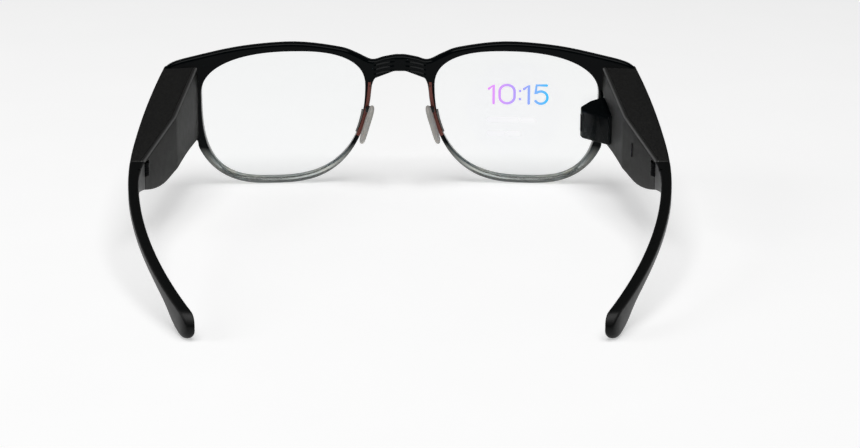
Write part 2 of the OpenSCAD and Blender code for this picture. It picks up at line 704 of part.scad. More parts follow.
front_frame();
left_lens();
right_lens();
display_film();
brow_flex_cable();
left_nose_rail();
right_nose_rail();
left_rim_insert();
right_rim_insert();
left_pad_clip();
right_pad_clip();
left_nose_pad();
right_nose_pad();
nose_rivets();
left_housing_shell();
right_housing_shell();
left_housing_cover();
right_housing_cover();
left_end_bracket();
right_end_bracket();
bracket_screws();
left_hinge_leaf();
right_hinge_leaf();
left_hinge_pin();
right_hinge_pin();
battery_cell();
charge_board();
charge_contacts();
main_board();
processor();
bluetooth_antenna();
light_engine();
projector_shroud();
projector_gasket();
projector_window();
wear_sensor();
left_speaker();
right_speaker();
microphones();
left_arm();
right_arm();
left_arm_core();
right_arm_core();
left_arm_leaf();
right_arm_leaf();
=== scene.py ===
"""Smart glasses seen from behind, standing on a pale floor. Sizes are in millimetres until a mesh is made."""
import math

import bmesh
import bpy
import numpy as np
from mathutils import Matrix, Vector

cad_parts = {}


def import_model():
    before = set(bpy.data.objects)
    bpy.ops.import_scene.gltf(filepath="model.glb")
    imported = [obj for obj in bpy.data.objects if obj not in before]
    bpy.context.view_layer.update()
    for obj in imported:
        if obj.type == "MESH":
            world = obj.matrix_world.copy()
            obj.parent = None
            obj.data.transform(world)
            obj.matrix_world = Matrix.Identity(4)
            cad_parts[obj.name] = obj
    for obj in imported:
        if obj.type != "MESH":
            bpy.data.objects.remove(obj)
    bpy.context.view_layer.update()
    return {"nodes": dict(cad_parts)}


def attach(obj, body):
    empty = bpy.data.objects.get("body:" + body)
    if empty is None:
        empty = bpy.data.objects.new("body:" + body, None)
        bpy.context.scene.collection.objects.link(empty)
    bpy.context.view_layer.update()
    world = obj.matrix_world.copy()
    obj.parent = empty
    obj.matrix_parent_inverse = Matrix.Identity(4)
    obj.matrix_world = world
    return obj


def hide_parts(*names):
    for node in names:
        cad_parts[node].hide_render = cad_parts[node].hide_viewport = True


MM = 0.001

# Driving sizes, the same as the CAD model's
LENS_W, LENS_H, BRIDGE_W = 50.8, 40.2, 21.6
FRONT_T, WRAP_R, FRONT_BACK = 4.4, 560.0, -1.6
RIM_LOW, RIM_TOP, RIM_NASAL, RIM_SIDE = 1.8, 2.6, 2.1, 3.9
END_W, BRIDGE_H = 11.4, 4.9
SEAM_D, HOUSE_H, SEAM_W, COVER_T = 66.0, 22.5, 4.2, 1.2
REACH, ARM_T, SWEEP, TIP_H = 150.0, 2.9, 23.0, 6.2
KNUCKLE_R, FOLD_GAP, HINGE_H = 1.2, 0.35, 3.7
PAD_H, PAD_D, PAD_T, PAD_LEAN, PAD_TOE = 12.6, 7.0, 1.4, 17.0, 4.0
RAIL_FROM, RAIL_TO = 0.15, 1.2      # edges of the nose rail, in from the rim's outer edge

# Places that follow from them: x out from the nose, z up from the floor, d behind the front
FRONT_Y = -(REACH - FRONT_T + FRONT_BACK) / 2
OPEN_IN = BRIDGE_W / 2
OPEN_OUT = OPEN_IN + LENS_W
OPEN_TOP = RIM_LOW + LENS_H
TOP_X = OPEN_IN + 0.43 * LENS_W
LOW_X = OPEN_IN + 0.575 * LENS_W
SIDE_Z = RIM_LOW + 0.67 * LENS_H
NOSE_Z = RIM_LOW + 0.72 * LENS_H
FRONT_HALF = OPEN_OUT + END_W
BROW_TOP = OPEN_TOP + RIM_TOP
BRIDGE_TOP = OPEN_TOP - 1.6
CORNER_Z = OPEN_TOP - 4.9
END_LOW = CORNER_Z - HOUSE_H + 0.6
HOUSE_TOP = OPEN_TOP - 4
FALL = (HOUSE_TOP - TIP_H) / REACH
CREST_D = SEAM_D - 9
FLARE = 3.1
CREASE_D, CREASE_W = 0.56 * SEAM_D, 10.0
HOUSE_IN = OPEN_OUT + 0.7
STEPS = 14


def rear_at(x):
    """Depth of the front's rear face at a distance x from the middle."""
    return FRONT_BACK + WRAP_R - math.sqrt(WRAP_R * WRAP_R - x * x)


def top_z(d):
    return HOUSE_TOP - FALL * d


def outer_x(d):
    if d < CREST_D:
        return FRONT_HALF - 0.2 + FLARE - FLARE * ((CREST_D - d) / CREST_D) ** 2
    return FRONT_HALF - 0.2 + FLARE - (SWEEP + 0.4) * ((d - CREST_D) / (REACH - CREST_D)) ** 2


def slope(d):
    return outer_x(d + 0.5) - outer_x(d - 0.5)


def inner_x(d):
    crease = outer_x(CREASE_D) - CREASE_W
    if d < CREASE_D:
        return HOUSE_IN + (crease - HOUSE_IN) * d / CREASE_D
    return crease + (outer_x(SEAM_D) - SEAM_W - crease) * (d - CREASE_D) / (SEAM_D - CREASE_D)


def arm_width(d):
    return ARM_T + (SEAM_W - ARM_T) * max(0.0, 1 - (d - SEAM_D) / 14) ** 2


PIVOT_X, PIVOT_D = inner_x(SEAM_D) + 0.15, SEAM_D - 2.1
HINGE_TOP = top_z(SEAM_D) - 0.9
HINGE_LOW = HINGE_TOP - HINGE_H


# ---- Outlines ----

def smooth(points, steps=5):
    """Catmull-Rom curve through the points."""
    out = []
    for i in range(len(points) - 1):
        a, b, c, d = (np.array(points[min(max(i + k, 0), len(points) - 1)], float) for k in (-1, 0, 1, 2))
        for k in range(steps):
            t = k / steps
            out.append(0.5 * (2 * b + (c - a) * t + (2 * a - 5 * b + 4 * c - d) * t ** 2
                              + (3 * b - a - 3 * c + d) * t ** 3))
    return out + [np.array(points[-1], float)]


def quarter(centre, rx, rz, power, start, steps=STEPS):
    out = []
    for i in range(steps):
        a = math.radians(start + 90 * i / steps)
        u, v = math.cos(a), math.sin(a)
        out.append(np.array([centre[0] + rx * math.copysign(abs(u) ** (2 / power), u),
                             centre[1] + rz * math.copysign(abs(v) ** (2 / power), v)]))
    return out


def eye_outline(outer, top, nasal, low, bulge, lean, steps=STEPS):
    """Closed outline through its outer, top, nasal and lowest points; its nasal lower quarter leans out."""
    foot_x = low[0] - lean
    leaning = quarter((foot_x, nasal[1]), foot_x - nasal[0], nasal[1] - low[1], bulge[2], 180, steps)
    for p in leaning:
        p[0] += lean * (max(0.0, nasal[1] - p[1]) / (nasal[1] - low[1])) ** 1.5
    return (quarter((top[0], outer[1]), outer[0] - top[0], top[1] - outer[1], bulge[0], 0, steps)
            + quarter((top[0], nasal[1]), top[0] - nasal[0], top[1] - nasal[1], bulge[3], 90, steps)
            + leaning
            + quarter((low[0], outer[1]), outer[0] - low[0], outer[1] - low[1], bulge[1], 270, steps))


def opening(grow=0.0, steps=STEPS):
    return eye_outline((OPEN_OUT + grow, SIDE_Z), (TOP_X, OPEN_TOP + grow), (OPEN_IN - grow, NOSE_Z),
                       (LOW_X, RIM_LOW - grow), (2.3, 3.0, 2.7, 2.5), 3, steps)


def rim(inset=0.0, steps=STEPS):
    return eye_outline((OPEN_OUT + RIM_SIDE - inset, SIDE_Z), (TOP_X, BROW_TOP - inset),
                       (OPEN_IN - RIM_NASAL + inset, NOSE_Z + 1.3), (LOW_X + 1, inset),
                       (2.3, 2.5, 3.2, 2.5), 7, steps)


def rim_point_at(z, nasal):
    """Point of the rim's outer edge at a height, on the nasal or the outer side."""
    low = [p for p in rim(0, 60) if (p[0] < LOW_X) == nasal and p[1] < SIDE_Z]
    return min(low, key=lambda p: abs(p[1] - z))


def front_half_outline():
    """The front's outer edge on one side, from the top of the bridge round to its underside."""
    brow = smooth([
        (0, BRIDGE_TOP), (1.5, BRIDGE_TOP), ((OPEN_IN - 2) * 0.6, BRIDGE_TOP - 0.7),
        (OPEN_IN - 2, OPEN_TOP - 3.1),
        (OPEN_IN + 2.6, OPEN_TOP - 1.0), (OPEN_IN + 8, BROW_TOP - 1.7), (TOP_X, BROW_TOP),
        (TOP_X + 0.32 * LENS_W, BROW_TOP - 1.1), (OPEN_OUT + 1.6, OPEN_TOP - 1.3),
        (FRONT_HALF - 2.8, CORNER_Z + 1.8), (FRONT_HALF, CORNER_Z)])
    outer_cut, nasal_cut = END_LOW - 3, NOSE_Z - 3
    end = smooth([
        (FRONT_HALF, CORNER_Z), (FRONT_HALF, END_LOW + 2.2), (FRONT_HALF - 0.6, END_LOW + 0.6),
        (FRONT_HALF - 2.4, END_LOW - 0.1), (OPEN_OUT + 2.3, END_LOW - 0.3), rim_point_at(outer_cut, False)])
    lower = [p for p in reversed(rim(0, 30)[60:])
             if p[1] < (outer_cut if p[0] > LOW_X else nasal_cut) - 0.3]
    bridge = smooth([
        (0, BRIDGE_TOP - BRIDGE_H), (1.5, BRIDGE_TOP - BRIDGE_H),
        (OPEN_IN - 5.8, BRIDGE_TOP - BRIDGE_H - 0.5),
        (OPEN_IN - 3.4, BRIDGE_TOP - BRIDGE_H - 1.9), (OPEN_IN - RIM_NASAL - 0.1, NOSE_Z + 0.6),
        rim_point_at(nasal_cut, True)])
    return brow[:-1] + end + lower + bridge[::-1]


def resampled(points, spacing):
    """The same open line with points about `spacing` apart."""
    p = np.array(points)
    along = np.concatenate([[0], np.cumsum(np.hypot(*np.diff(p, axis=0).T))])
    keep = np.concatenate([[True], np.diff(along) > 1e-6])
    p, along = p[keep], along[keep]
    at = np.linspace(0, along[-1], int(along[-1] / spacing) + 1)
    return np.stack([np.interp(at, along, p[:, 0]), np.interp(at, along, p[:, 1])], 1)


# ---- Meshes ----

def place(x, d, z):
    return (x * MM, (FRONT_Y + d) * MM, z * MM)


def make_mesh(name, verts, faces, mat, body="front", sharp=35, side=1, stands_for=()):
    """Mesh object from points in metres, mirrored to the wearer's right when side is -1."""
    mesh = bpy.data.meshes.new(name)
    mesh.from_pydata([(x * side, y, z) for x, y, z in verts], [], faces)
    bm = bmesh.new()
    bm.from_mesh(mesh)
    bmesh.ops.remove_doubles(bm, verts=bm.verts, dist=1e-7)
    bmesh.ops.dissolve_degenerate(bm, edges=bm.edges, dist=1e-8)
    bmesh.ops.recalc_face_normals(bm, faces=bm.faces)
    bm.to_mesh(mesh)
    bm.free()
    obj = bpy.data.objects.new(name, mesh)
    bpy.context.scene.collection.objects.link(obj)
    finish_piece(obj, mat, body, sharp, stands_for)
    return obj


def finish_piece(obj, mat, body, sharp=35, stands_for=()):
    obj.data.materials.clear()
    obj.data.materials.append(mat)
    for face in obj.data.polygons:
        face.use_smooth = True
    obj.data.set_sharp_from_angle(angle=math.radians(sharp))
    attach(obj, body)
    if stands_for:
        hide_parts(*stands_for)


def applied(obj):
    """Bakes an object's modifiers into its mesh."""
    graph = bpy.context.evaluated_depsgraph_get()
    mesh = bpy.data.meshes.new_from_object(obj.evaluated_get(graph))
    obj.modifiers.clear()
    obj.data = mesh


def cut(obj, cutters):
    for cutter in cutters:
        mod = obj.modifiers.new("cut", "BOOLEAN")
        mod.operation, mod.solver, mod.object = "DIFFERENCE", "EXACT", cutter
        mod.material_mode = "TRANSFER"
    applied(obj)
    obj.data.set_sharp_from_angle(angle=math.radians(35))


def remove(objects):
    for obj in objects:
        bpy.data.objects.remove(obj)


def tube(rings, closed_ends=True):
    """Points and faces of a skin over rings that all have the same number of points."""
    verts = [v for ring in rings for v in ring]
    n = len(rings[0])
    faces = [(i * n + j, i * n + (j + 1) % n, (i + 1) * n + (j + 1) % n, (i + 1) * n + j)
             for i in range(len(rings) - 1) for j in range(n)]
    if closed_ends:
        faces += [tuple(range(n)), tuple(range((len(rings) - 1) * n, len(rings) * n))]
    return verts, faces


def rounded_box(x0, x1, z0, z1, radii, steps=4):
    """Section as a rectangle with a radius at each corner: low inner, low outer, high outer, high inner."""
    corners = [(x0, z0, 1, 1, 180), (x1, z0, -1, 1, 270), (x1, z1, -1, -1, 0), (x0, z1, 1, -1, 90)]
    out = []
    for (x, z, sx, sz, start), r in zip(corners, radii):
        for k in range(steps + 1):
            a = math.radians(start + 90 * k / steps)
            out.append((x + sx * r + r * math.cos(a), z + sz * r + r * math.sin(a)))
    return out


def block(mat, corners_xd, z0, z1):
    """Plain upright prism to cut with; the faces it leaves take its material."""
    rings = [[place(x, d, z) for x, d in corners_xd] for z in (z0, z1)]
    verts, faces = tube(rings)
    mesh = bpy.data.meshes.new("cutter")
    mesh.from_pydata(verts, [], faces)
    mesh.materials.append(mat)
    bm = bmesh.new()
    bm.from_mesh(mesh)
    bmesh.ops.recalc_face_normals(bm, faces=bm.faces)
    bm.to_mesh(mesh)
    bm.free()
    obj = bpy.data.objects.new("cutter", mesh)
    bpy.context.scene.collection.objects.link(obj)
    return obj


# ---- Materials ----

class Nodes:
    """Short way to write a material's nodes."""

    def __init__(self, name):
        self.mat = bpy.data.materials.new(name)
        self.mat.use_nodes = True
        self.tree = self.mat.node_tree
        self.tree.nodes.clear()
        self.output = self.tree.nodes.new("ShaderNodeOutputMaterial")
        self.where = self.add("TexCoord").outputs["Object"]

    def add(self, kind, inputs=None, **settings):
        node = self.tree.nodes.new("ShaderNode" + kind)
        for key, value in settings.items():
            setattr(node, key, value)
        for key, value in (inputs or {}).items():
            if isinstance(value, bpy.types.NodeSocket):
                self.tree.links.new(value, node.inputs[key])
            else:
                node.inputs[key].default_value = value
        return node

    def math(self, operation, a, b=0.0):
        return self.add("Math", {0: a, 1: b}, operation=operation).outputs[0]

    def noise(self, scale, detail=2.0, stretch=None, where=None):
        where = where or self.where
        if stretch:
            where = self.add("Mapping", {"Vector": where, "Scale": stretch}).outputs[0]
        return self.add("TexNoise", {"Vector": where, "Scale": scale, "Detail": detail}).outputs[0]

    def ramp(self, value, low, high, out_low=0.0, out_high=1.0):
        return self.add("MapRange", {0: value, 1: low, 2: high, 3: out_low, 4: out_high}).outputs[0]

    def blend(self, share, a, b):
        mix = self.add("Mix", {0: share, 6: a, 7: b}, data_type="RGBA")
        return mix.outputs[2]

    def bump(self, height, distance, strength=1.0):
        return self.add("Bump", {"Height": height, "Distance": distance, "Strength": strength}).outputs[0]

    def surface(self, shader):
        self.tree.links.new(shader, self.output.inputs["Surface"])
        return self.mat

    def principled(self, inputs):
        return self.surface(self.add("BsdfPrincipled", inputs).outputs[0])


def moulded(name, dark, light, roughness, grain=2600, depth=0.00001, level=0.3, highlight_tone=0.0):
    """Fine speckled moulding: two tones, uneven roughness, grain, and a painted highlight that lightens the
    colour of faces slanting up.
    """
    n = Nodes(name)
    fine = n.noise(grain, 3)
    tone = n.ramp(fine, 0.35, 0.68)
    colour = n.blend(tone, (*dark, 1), (*light, 1))
    # painted highlight: where the normal slants up (z near 0.65) the colour is lightened towards a grey tone,
    # standing in for light caught on the chamfers
    if highlight_tone:
        up = n.add("SeparateXYZ", {0: n.add("TexCoord").outputs["Normal"]}).outputs[2]
        edge = n.ramp(n.math("ABSOLUTE", n.math("SUBTRACT", up, 0.65)), 0.35, 0.1)
        painted_highlight = n.math("MULTIPLY", edge, n.ramp(fine, 0.2, 0.6, 0.7, 1.0))
        colour = n.blend(painted_highlight, colour, (highlight_tone, highlight_tone, highlight_tone, 1))
    return n.principled({
        "Base Color": colour,
        "Roughness": n.ramp(n.noise(420), 0.3, 0.7, roughness - 0.02, roughness + 0.02),
        "Specular IOR Level": level, "Normal": n.bump(fine, depth)})


def metal(name, colour, roughness, stretch=(1, 1, 30)):
    """Ground metal with fine scratches along the surface."""
    n = Nodes(name)
    lines = n.noise(1400, 3, stretch)
    return n.principled({
        "Base Color": n.blend(n.ramp(lines, 0.3, 0.7), (*[0.8 * c for c in colour], 1), (*colour, 1)),
        "Metallic": 1.0, "Roughness": n.ramp(lines, 0.3, 0.7, roughness, roughness + 0.12),
        "Normal": n.bump(lines, 0.00001)})


def acetate():
    """Near black, turning to clear smoke towards the bottom of the rims; three grooves behind the bridge."""
    n = Nodes("acetate")
    part = n.add("SeparateXYZ", {0: n.where}).outputs
    cloudy = n.math("MULTIPLY", n.noise(90, 3), 0.004)
    height = n.math("ADD", part[2], cloudy)
    smoke = n.ramp(height, 0.0145, 0.0055)
    streaks = n.noise(60, 1, None, n.add("CombineXYZ", {0: ring_share(n, part)}).outputs[0])
    tint = n.blend(n.ramp(streaks, 0.4, 0.6), (0.42, 0.50, 0.53, 1), (0.84, 0.83, 0.74, 1))
    clear = n.math("MULTIPLY", smoke, 0.9)
    return n.principled({
        "Base Color": n.blend(smoke, (0.0015, 0.0025, 0.003, 1), tint),
        "Roughness": n.ramp(n.noise(300), 0.3, 0.7, 0.10, 0.16), "Specular IOR Level": 0.07,
        "Transmission Weight": clear, "IOR": 1.48, "Normal": groove_bump(n, part)})


def ring_share(n, part):
    """How far out a point lies in a rim's lower half: 1 along the lens opening, more beyond it."""
    aside = n.math("SUBTRACT", n.math("ABSOLUTE", part[0]), LOW_X * MM)
    outward = n.math("GREATER_THAN", aside, 0.0)
    half = n.ramp(outward, 0, 1, (LOW_X - OPEN_IN) * MM, (OPEN_OUT - LOW_X) * MM)
    across = n.math("ABSOLUTE", n.math("DIVIDE", aside, half))
    down = n.math("DIVIDE", n.math("SUBTRACT", SIDE_Z * MM, part[2]), (SIDE_Z - RIM_LOW) * MM)
    power = 2.6
    total = n.math("ADD", n.math("POWER", across, power), n.math("POWER", n.math("ABSOLUTE", down), power))
    return n.math("POWER", total, 1 / power)


def groove_bump(n, part):
    """Three curved grooves across the back of the bridge."""
    sunk = None
    radius = 25.7
    for row in range(3):
        centre_z = (BRIDGE_TOP - 1.3 - 1.4 * row - radius) * MM
        rise = n.math("SUBTRACT", part[2], centre_z)
        squares = n.math("ADD", n.math("MULTIPLY", rise, rise), n.math("MULTIPLY", part[0], part[0]))
        away = n.math("SQRT", squares)
        off = n.math("ABSOLUTE", n.math("SUBTRACT", away, radius * MM))
        dip = n.ramp(off, 0.55 * MM, 0.1 * MM)
        above = n.math("GREATER_THAN", rise, 0.0)
        dip = n.math("MULTIPLY", dip, above)
        sunk = dip if sunk is None else n.math("MAXIMUM", sunk, dip)
    aside = n.math("ABSOLUTE", part[0])
    inside = n.math("MULTIPLY", n.ramp(aside, 8.2 * MM, 6.8 * MM), n.ramp(aside, 1.5 * MM, 4.5 * MM))
    return n.bump(n.math("MULTIPLY", sunk, n.math("MULTIPLY", inside, -1.0)), 0.5 * MM)


def pane(name, tint, shine, streak=0.02):
    """Thin coated glass: what is behind shows through and the coating mirrors a little, more at a slant."""
    n = Nodes(name)
    smear = n.noise(45, 2)
    coat = n.blend(n.ramp(smear, 0.3, 0.7), (0.93, 0.96, 1.0, 1), (0.97, 1.0, 0.95, 1))
    through = n.add("BsdfTransparent", {"Color": (*tint, 1)}).outputs[0]
    mirror = n.add("BsdfGlossy", {"Color": coat, "Roughness": n.ramp(smear, 0, 1, 0.01, streak)}).outputs[0]
    slant = n.math("MULTIPLY", n.add("Fresnel", {"IOR": 1.45}).outputs[0], shine)
    return n.surface(n.add("MixShader", {0: slant, 1: through, 2: mirror}).outputs[0])


def glow(name, left, middle, right, strength, x0, x1):
    """Light drawn by the projector on the lens, changing colour from one end to the other."""
    n = Nodes(name)
    part = n.add("SeparateXYZ", {0: n.where}).outputs
    share = n.ramp(part[0], x0 * MM, x1 * MM)
    first = n.blend(n.ramp(share, 0, 0.5), (*left, 1), (*middle, 1))
    colour = n.blend(n.ramp(share, 0.5, 1), first, (*right, 1))
    flicker = n.ramp(n.noise(900), 0, 1, 0.97, 1.0)
    return n.principled({
        "Base Color": (0.0, 0.0, 0.0, 1), "Roughness": 0.6, "Specular IOR Level": 0.0,
        "Emission Color": colour, "Emission Strength": n.math("MULTIPLY", flicker, strength)})


def silicone():
    n = Nodes("silicone")
    soft = n.noise(260, 3)
    return n.principled({
        "Base Color": n.blend(n.ramp(soft, 0.3, 0.7), (0.40, 0.385, 0.36, 1), (0.46, 0.445, 0.415, 1)),
        "Roughness": n.ramp(soft, 0.3, 0.7, 0.42, 0.55), "Subsurface Weight": 0.15,
        "Subsurface Radius": (0.003, 0.002, 0.0015), "Normal": n.bump(n.noise(1500), 0.00001)})


def smoke_resin():
    n = Nodes("smoke_insert")
    soft = n.noise(200, 3)
    return n.principled({
        "Base Color": n.blend(n.ramp(soft, 0.3, 0.7), (0.16, 0.155, 0.15, 1), (0.24, 0.235, 0.22, 1)),
        "Roughness": n.ramp(soft, 0.3, 0.7, 0.2, 0.35), "Transmission Weight": 0.25, "IOR": 1.5})


def gloss(name, colour, roughness=0.07, level=0.12):
    """Polished moulding with a faint orange-peel waviness."""
    n = Nodes(name)
    wave = n.noise(160, 2)
    return n.principled({
        "Base Color": n.blend(n.ramp(wave, 0.3, 0.7), (*[0.8 * c for c in colour], 1), (*colour, 1)),
        "Roughness": n.ramp(wave, 0.3, 0.7, roughness, roughness + 0.05),
        "Specular IOR Level": level, "Normal": n.bump(wave, 0.00001)})


def make_materials():
    return {
        "acetate": acetate(),
        "lens": pane("lens", (0.996, 1.0, 1.0), 0.6),
        "film": pane("film", (0.996, 0.996, 1.0), 0.12, 0.1),
        "flex": moulded("flex", (0.38, 0.2, 0.05), (0.5, 0.28, 0.08), 0.4, 900),
        "copper_rail": gloss("copper_rail", (0.20, 0.048, 0.032), 0.3, 0.4),
        "smoke_insert": smoke_resin(),
        # shadow_gap is painted shade: near-black for the faces cut by the hinge pocket, sound slits and
        # sensor slot
        "shadow_gap": moulded("shadow_gap", (0.001, 0.001, 0.001), (0.002, 0.002, 0.002), 0.8, level=0.05),
        "black_nylon": moulded("black_nylon", (0.006, 0.007, 0.007), (0.012, 0.013, 0.014), 0.45),
        "silicone": silicone(),
        "dark_rivet": metal("dark_rivet", (0.10, 0.05, 0.04), 0.3),
        "housing_nylon": moulded("housing_nylon", (0.004, 0.004, 0.004), (0.020, 0.020, 0.019), 0.5, 2200,
                                 level=0.25),
        # cover_nylon carries a painted highlight: its slanting top chamfer is lightened in colour
        "cover_nylon": moulded("cover_nylon", (0.007, 0.007, 0.0065), (0.015, 0.015, 0.0135), 0.5,
                               depth=0.000006, level=0.1, highlight_tone=0.14),
        "steel": metal("steel", (0.62, 0.63, 0.64), 0.25),
        "black_steel": metal("black_steel", (0.008, 0.0085, 0.009), 0.45),
        "foil": metal("foil", (0.5, 0.55, 0.58), 0.4, (1, 1, 4)),
        "board": moulded("board", (0.012, 0.08, 0.03), (0.02, 0.13, 0.05), 0.4, 700),
        "gold": metal("gold", (0.85, 0.6, 0.2), 0.2),
        "chip": moulded("chip", (0.015, 0.015, 0.016), (0.03, 0.03, 0.032), 0.5),
        "engine": metal("engine", (0.3, 0.31, 0.33), 0.4, (1, 1, 8)),
        "gloss_black": gloss("gloss_black", (0.003, 0.004, 0.0045), 0.12, 0.06),
        "window": gloss("window", (0.004, 0.003, 0.008), 0.05),
        # arm_nylon carries a faint painted highlight on its slanting faces
        "arm_nylon": moulded("arm_nylon", (0.002, 0.0025, 0.0025), (0.006, 0.0065, 0.0065), 0.38,
                             level=0.15, highlight_tone=0.02),
    }


# ---- Front ----

def front_frame(mat):
    """One skin round both lens openings, with rounded edges, bent to the front's wrap."""
    outer = resampled(front_half_outline(), 0.8)
    run = np.gradient(outer, axis=0)
    inward = np.stack([run[:, 1], -run[:, 0]], 1)
    inward /= np.hypot(*inward.T)[:, None]
    inward[0], inward[-1] = (0, -1), (0, 1)
    middle_steps = 8
    shares = np.arange(1, middle_steps) / middle_steps

    def outer_loop(inset):
        edge = outer + inward * inset
        middle = edge[-1] + shares[:, None] * (edge[0] - edge[-1])
        return np.vstack([edge, middle])

    # Each station of the outer loop is joined to the point of the lens opening in the same direction
    centre = np.array([LOW_X - 2, RIM_LOW + LENS_H / 2])
    loop = outer_loop(0)
    bearing = np.unwrap(np.arctan2(*(loop - centre).T[::-1]))
    even = np.linspace(bearing[0], bearing[0] - 2 * math.pi, len(loop), endpoint=False)
    bearing = 0.9 * np.minimum.accumulate(bearing) + 0.1 * even

    def inner_loop(grow):
        points = np.array(opening(grow, 90))
        angle = np.unwrap(np.arctan2(*(points - centre).T[::-1]))
        angle = np.concatenate([angle - 4 * math.pi, angle - 2 * math.pi, angle, angle + 2 * math.pi])
        points = np.vstack([points] * 4)
        return np.stack([np.interp(bearing, angle, points[:, k]) for k in (0, 1)], 1)

    def levels(radius, steps=4):
        """Insets and depths of a rounded edge, from the rear face to the front face."""
        turn = [math.radians(90 * k / steps) for k in range(steps + 1)]
        rear = [(radius * (1 - math.sin(a)), -radius * (1 - math.cos(a))) for a in turn]
        return rear + [(inset, -FRONT_T - depth) for inset, depth in reversed(rear)]

    def bent(points, depth):
        return [place(x, rear_at(x) + depth, z) for x, z in points]

    across = 5
    outside = [(outer_loop(inset), depth) for inset, depth in levels(0.9)]
    inside = [(inner_loop(inset), depth) for inset, depth in levels(0.5)]
    faces_between = [k / across for k in range(1, across)]
    lines = [bent(p, d) for p, d in outside]
    lines += [bent(outside[-1][0] * (1 - t) + inside[-1][0] * t, -FRONT_T) for t in faces_between]
    lines += [bent(p, d) for p, d in reversed(inside)]
    lines += [bent(inside[0][0] * (1 - t) + outside[0][0] * t, 0.0) for t in faces_between]
    rings = list(zip(*lines))
    verts, faces = tube(rings + [rings[0]], closed_ends=False)
    faces = [f for f in faces if any(abs(verts[i][0]) > 1e-7 for i in f)]
    count = len(verts)
    verts += [(-x, y, z) for x, y, z in verts]
    faces += [tuple(i + count for i in reversed(f)) for f in faces]
    return make_mesh("front", verts, faces, mat, sharp=60, stands_for=["front_frame"])


def band(name, edge_a, edge_b, deep, proud, mat, side, stands_for, edge=0.15):
    """Strip let into the front's rear face between two edges, standing a little proud."""
    rings = []
    for a, b in zip(edge_a, edge_b):
        along = (b - a) / np.hypot(*(b - a))
        width = np.hypot(*(b - a))
        section = rounded_box(0, width, -deep, proud, (0.02, 0.02, edge, edge), 3)
        rings.append([(a + along * s, depth) for s, depth in section])
    points = [[place(p[0], rear_at(p[0]) + depth, p[1]) for p, depth in ring] for ring in rings]
    verts, faces = tube(points)
    return make_mesh(name, verts, faces, mat, side=side, stands_for=[stands_for])


def nasal_edge(curve, z0, z1, count=40):
    """Points of the nasal lower quarter of an eye outline between two heights."""
    line = np.array([p for p in curve if p[0] < LOW_X and p[1] < NOSE_Z + 1.3])
    line = line[np.argsort(line[:, 1])]
    heights = np.linspace(z0, z1, count)
    return np.stack([np.interp(heights, line[:, 1], line[:, 0]), heights], 1)


def level_with(edge, curve):
    """For each point of an edge, the nearest point of a curve."""
    curve = np.array(curve)
    return np.array([curve[np.argmin(np.hypot(*(curve - p).T))] for p in edge])


def nose_parts(mats, side, word):
    rail_edge = nasal_edge(rim(RAIL_FROM, 80), RIM_LOW + 13.2, RIM_LOW + 30.4)
    band(word + "_rail", rail_edge, level_with(rail_edge, rim(RAIL_TO, 400)), 0.8, 0.14, mats["copper_rail"],
         side, word + "_nose_rail")
    insert_edge = nasal_edge(rim(RAIL_TO + 0.1, 80), RIM_LOW + 14.6, RIM_LOW + 21.6)
    band(word + "_insert", insert_edge, level_with(insert_edge, opening(-0.55, 400)), 0.9, 0.1,
         mats["smoke_insert"], side, word + "_rim_insert", 0.2)
    pad_clip(mats["black_nylon"], side, word)
    nose_pad(mats["silicone"], side, word)


PAD_MID = (OPEN_IN - 0.55, FRONT_BACK + PAD_D / 2 + 0.6, RIM_LOW + 17.8)


def pad_clip(mat, side, word):
    wide, high = 2.2, 1.6
    x0, z0 = PAD_MID[0] - 1.7, RIM_LOW + 22.0 - high / 2
    start = rear_at(PAD_MID[0]) - 0.3
    rings = []
    for depth, inset in ((start, 0), (start + 2.1, 0), (start + 2.4, 0.1), (start + 2.5, 0.35)):
        section = rounded_box(x0 + inset, x0 + wide - inset, z0 + inset, z0 + high - inset, (0.3,) * 4)
        rings.append([place(x, depth, z) for x, z in section])
    verts, faces = tube(rings)
    make_mesh(word + "_clip", verts, faces, mat, side=side,
              stands_for=[word + "_pad_clip"])


def nose_pad(mat, side, word):
    """Oval silicone fin with a full round edge, leaning out towards the cheek."""
    turn = Matrix.Rotation(math.radians(-PAD_LEAN), 3, "Y") @ Matrix.Rotation(math.radians(PAD_TOE), 3, "Z")
    middle, straight = Vector(PAD_MID), (PAD_H - PAD_D) / 2
    rings = []
    layers = [-1.0, -0.97, -0.8, -0.5, 0, 0.5, 0.8, 0.97, 1.0]
    for layer in layers:
        inset = 0.9 * (1 - math.sqrt(1 - layer * layer)) if abs(layer) < 1 else 1.3
        radius = PAD_D / 2 - inset
        ring = []
        for k in range(48):
            a = 2 * math.pi * k / 48
            flat = Vector((layer * PAD_T / 2, radius * math.cos(a), radius * math.sin(a)))
            flat.z += math.copysign(straight, math.sin(a) + 1e-9)
            ring.append(place(*(middle + turn @ flat)))
        rings.append(ring)
    verts, faces = tube(rings)
    make_mesh(word + "_pad", verts, faces, mat, side=side, sharp=80,
              stands_for=[word + "_nose_pad"])


# ---- Housings ----

BELLY = smooth([(-12, END_LOW), (0, END_LOW), (0.3 * SEAM_D, END_LOW + 0.1), (0.56 * SEAM_D, END_LOW - 0.9),
                (0.74 * SEAM_D, END_LOW - 2.1), (0.88 * SEAM_D, END_LOW - 1.3), (SEAM_D, END_LOW + 0.5)])


def belly_z(d):
    return float(np.interp(d, [p[0] for p in BELLY], [p[1] for p in BELLY]))


def loft_along(depths, section):
    """Skin over sections given as (x, z) points at each depth."""
    return tube([[place(x, d, z) for x, z in section(d)] for d in depths])


def housing_depths():
    start, soft = 0.8, 0.2
    curve = np.arange(start, SEAM_D - soft, 2.6)
    return sorted([*curve, CREASE_D, SEAM_D - soft, SEAM_D])


